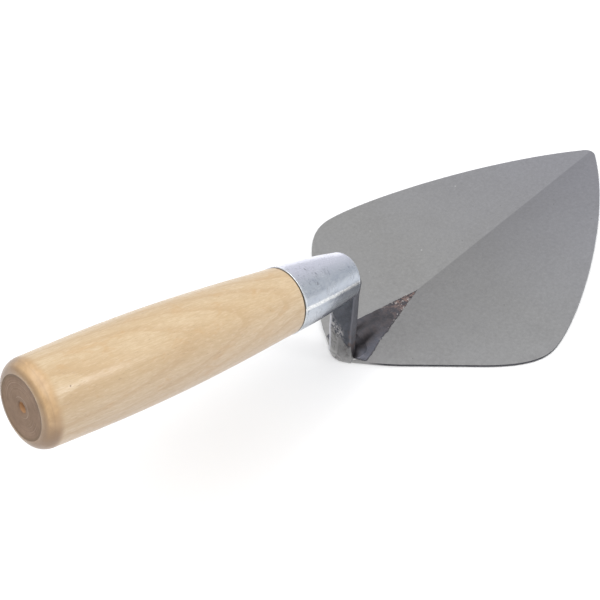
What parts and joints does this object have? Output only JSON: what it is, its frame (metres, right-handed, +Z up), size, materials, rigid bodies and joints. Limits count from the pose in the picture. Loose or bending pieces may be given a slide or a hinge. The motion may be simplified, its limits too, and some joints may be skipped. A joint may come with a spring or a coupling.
{
  "type": "bricklaying trowel",
  "caption": "Heart-shaped pointed trowel with a forged steel blade and shank, a tapered steel ferrule and a turned wooden grip, for spreading mortar.",
  "frame": {"origin": "on the blade's flat underside, on the centreline, where the blade is widest", "axes": "+Y along the blade towards its tip, +Z up from the underside towards the grip, +X to the right seen from behind the grip; the part is symmetric about X = 0"},
  "size_m": [0.1366, 0.3434, 0.1031],
  "materials": {
    "forged_steel": "fine satin grind, with dark forging scale on the shank and tongue",
    "ferrule_steel": "bright drawn steel with faint streaks along it",
    "pale_hardwood": "satin lacquer"
  },
  "bodies": {
    "root": {"blade_forging": "forged_steel", "ferrule": "ferrule_steel", "wooden_handle": "pale_hardwood"}
  },
  "joints": []
}
